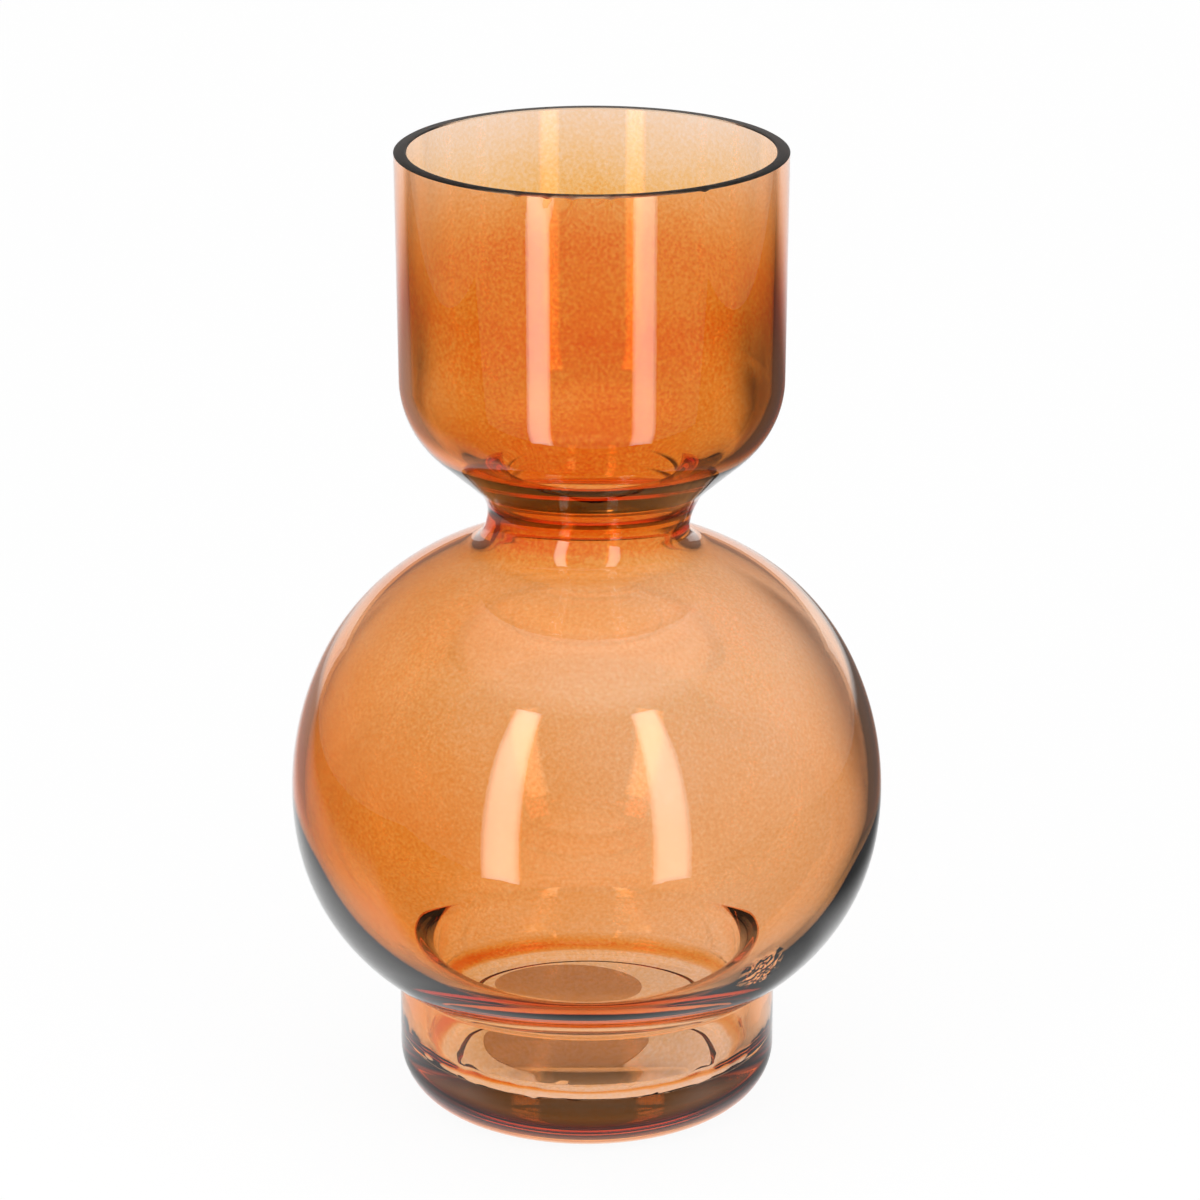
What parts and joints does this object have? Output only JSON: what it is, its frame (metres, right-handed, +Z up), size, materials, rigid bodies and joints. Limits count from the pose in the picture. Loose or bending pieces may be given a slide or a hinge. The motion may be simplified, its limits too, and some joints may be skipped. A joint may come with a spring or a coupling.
{
  "type": "gourd vase",
  "caption": "Blown glass gourd vase: straight cup on a tight neck over a round globe and a short heavy foot, amber lacquer outside, blank label under the foot.",
  "frame": {"origin": "middle of the foot, on the plane that the vase stands on", "axes": "+Z up along the vase's axis, towards the rim; +X to the right and -Y towards the viewer as in the picture"},
  "size_m": [0.151, 0.151, 0.25],
  "materials": {
    "clear_glass": "fire-polished clear soda-lime glass, ground rim",
    "amber_lacquer": "gloss, transparent sprayed film",
    "label_paper": "matt uncoated paper, blank"
  },
  "bodies": {
    "root": {"blown_glass_body": "clear_glass", "amber_lacquer_coat": "amber_lacquer", "base_label": "label_paper"}
  },
  "joints": []
}
